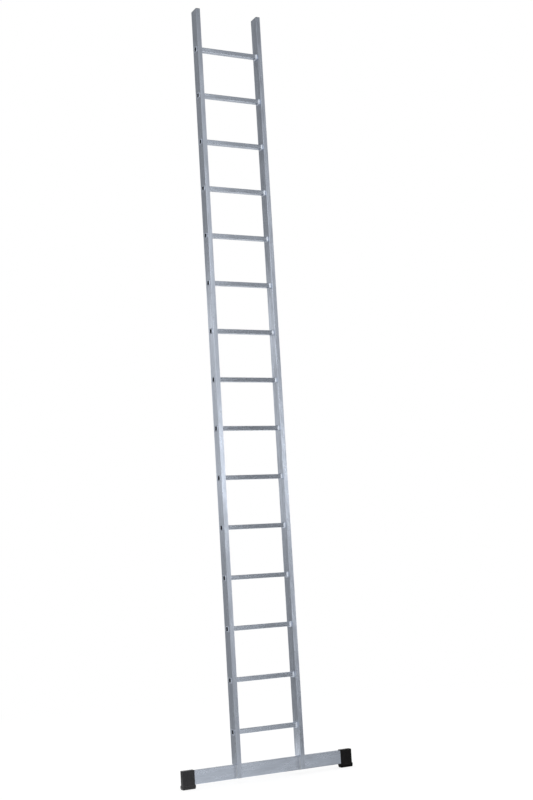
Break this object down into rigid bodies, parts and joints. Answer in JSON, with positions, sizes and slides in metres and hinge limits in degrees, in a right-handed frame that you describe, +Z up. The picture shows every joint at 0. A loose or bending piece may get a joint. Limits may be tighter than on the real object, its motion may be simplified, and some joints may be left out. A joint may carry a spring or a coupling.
{
  "type": "single section ladder",
  "caption": "Rigid aluminium ladder with box section stiles, swaged box rungs, a wide stabiliser bar let into the stile ends and black rubber boots as feet.",
  "frame": {"origin": "on the floor, midway between the two feet and in the middle plane of the stiles", "axes": "+X along the rungs to the climber's right, +Y from the climber's side to the wall, +Z up the stiles"},
  "size_m": [1.054, 0.07, 4.432],
  "materials": {
    "stile_aluminium": "mill finish extrusion, fine drawing lines along its length",
    "rung_aluminium": "mill finish tube with a grooved tread",
    "bar_aluminium": "mill finish extrusion, fine drawing lines along its length",
    "foot_rubber": "matt moulded rubber",
    "plug_plastic": "fine grained moulded plastic",
    "zinc_steel": "zinc plated steel"
  },
  "bodies": {
    "root": {"left_stile": "stile_aluminium", "right_stile": "stile_aluminium", "stabiliser_bar": "bar_aluminium", "left_foot": "foot_rubber", "right_foot": "foot_rubber", "left_top_plug": "plug_plastic", "right_top_plug": "plug_plastic", "stabiliser_bolts": "zinc_steel", "stabiliser_nuts": "zinc_steel", "rung_01": "rung_aluminium", "rung_02": "rung_aluminium", "rung_03": "rung_aluminium", "rung_04": "rung_aluminium", "rung_05": "rung_aluminium", "rung_06": "rung_aluminium", "rung_07": "rung_aluminium", "rung_08": "rung_aluminium", "rung_09": "rung_aluminium", "rung_10": "rung_aluminium", "rung_11": "rung_aluminium", "rung_12": "rung_aluminium", "rung_13": "rung_aluminium", "rung_14": "rung_aluminium", "rung_15": "rung_aluminium"}
  },
  "joints": []
}
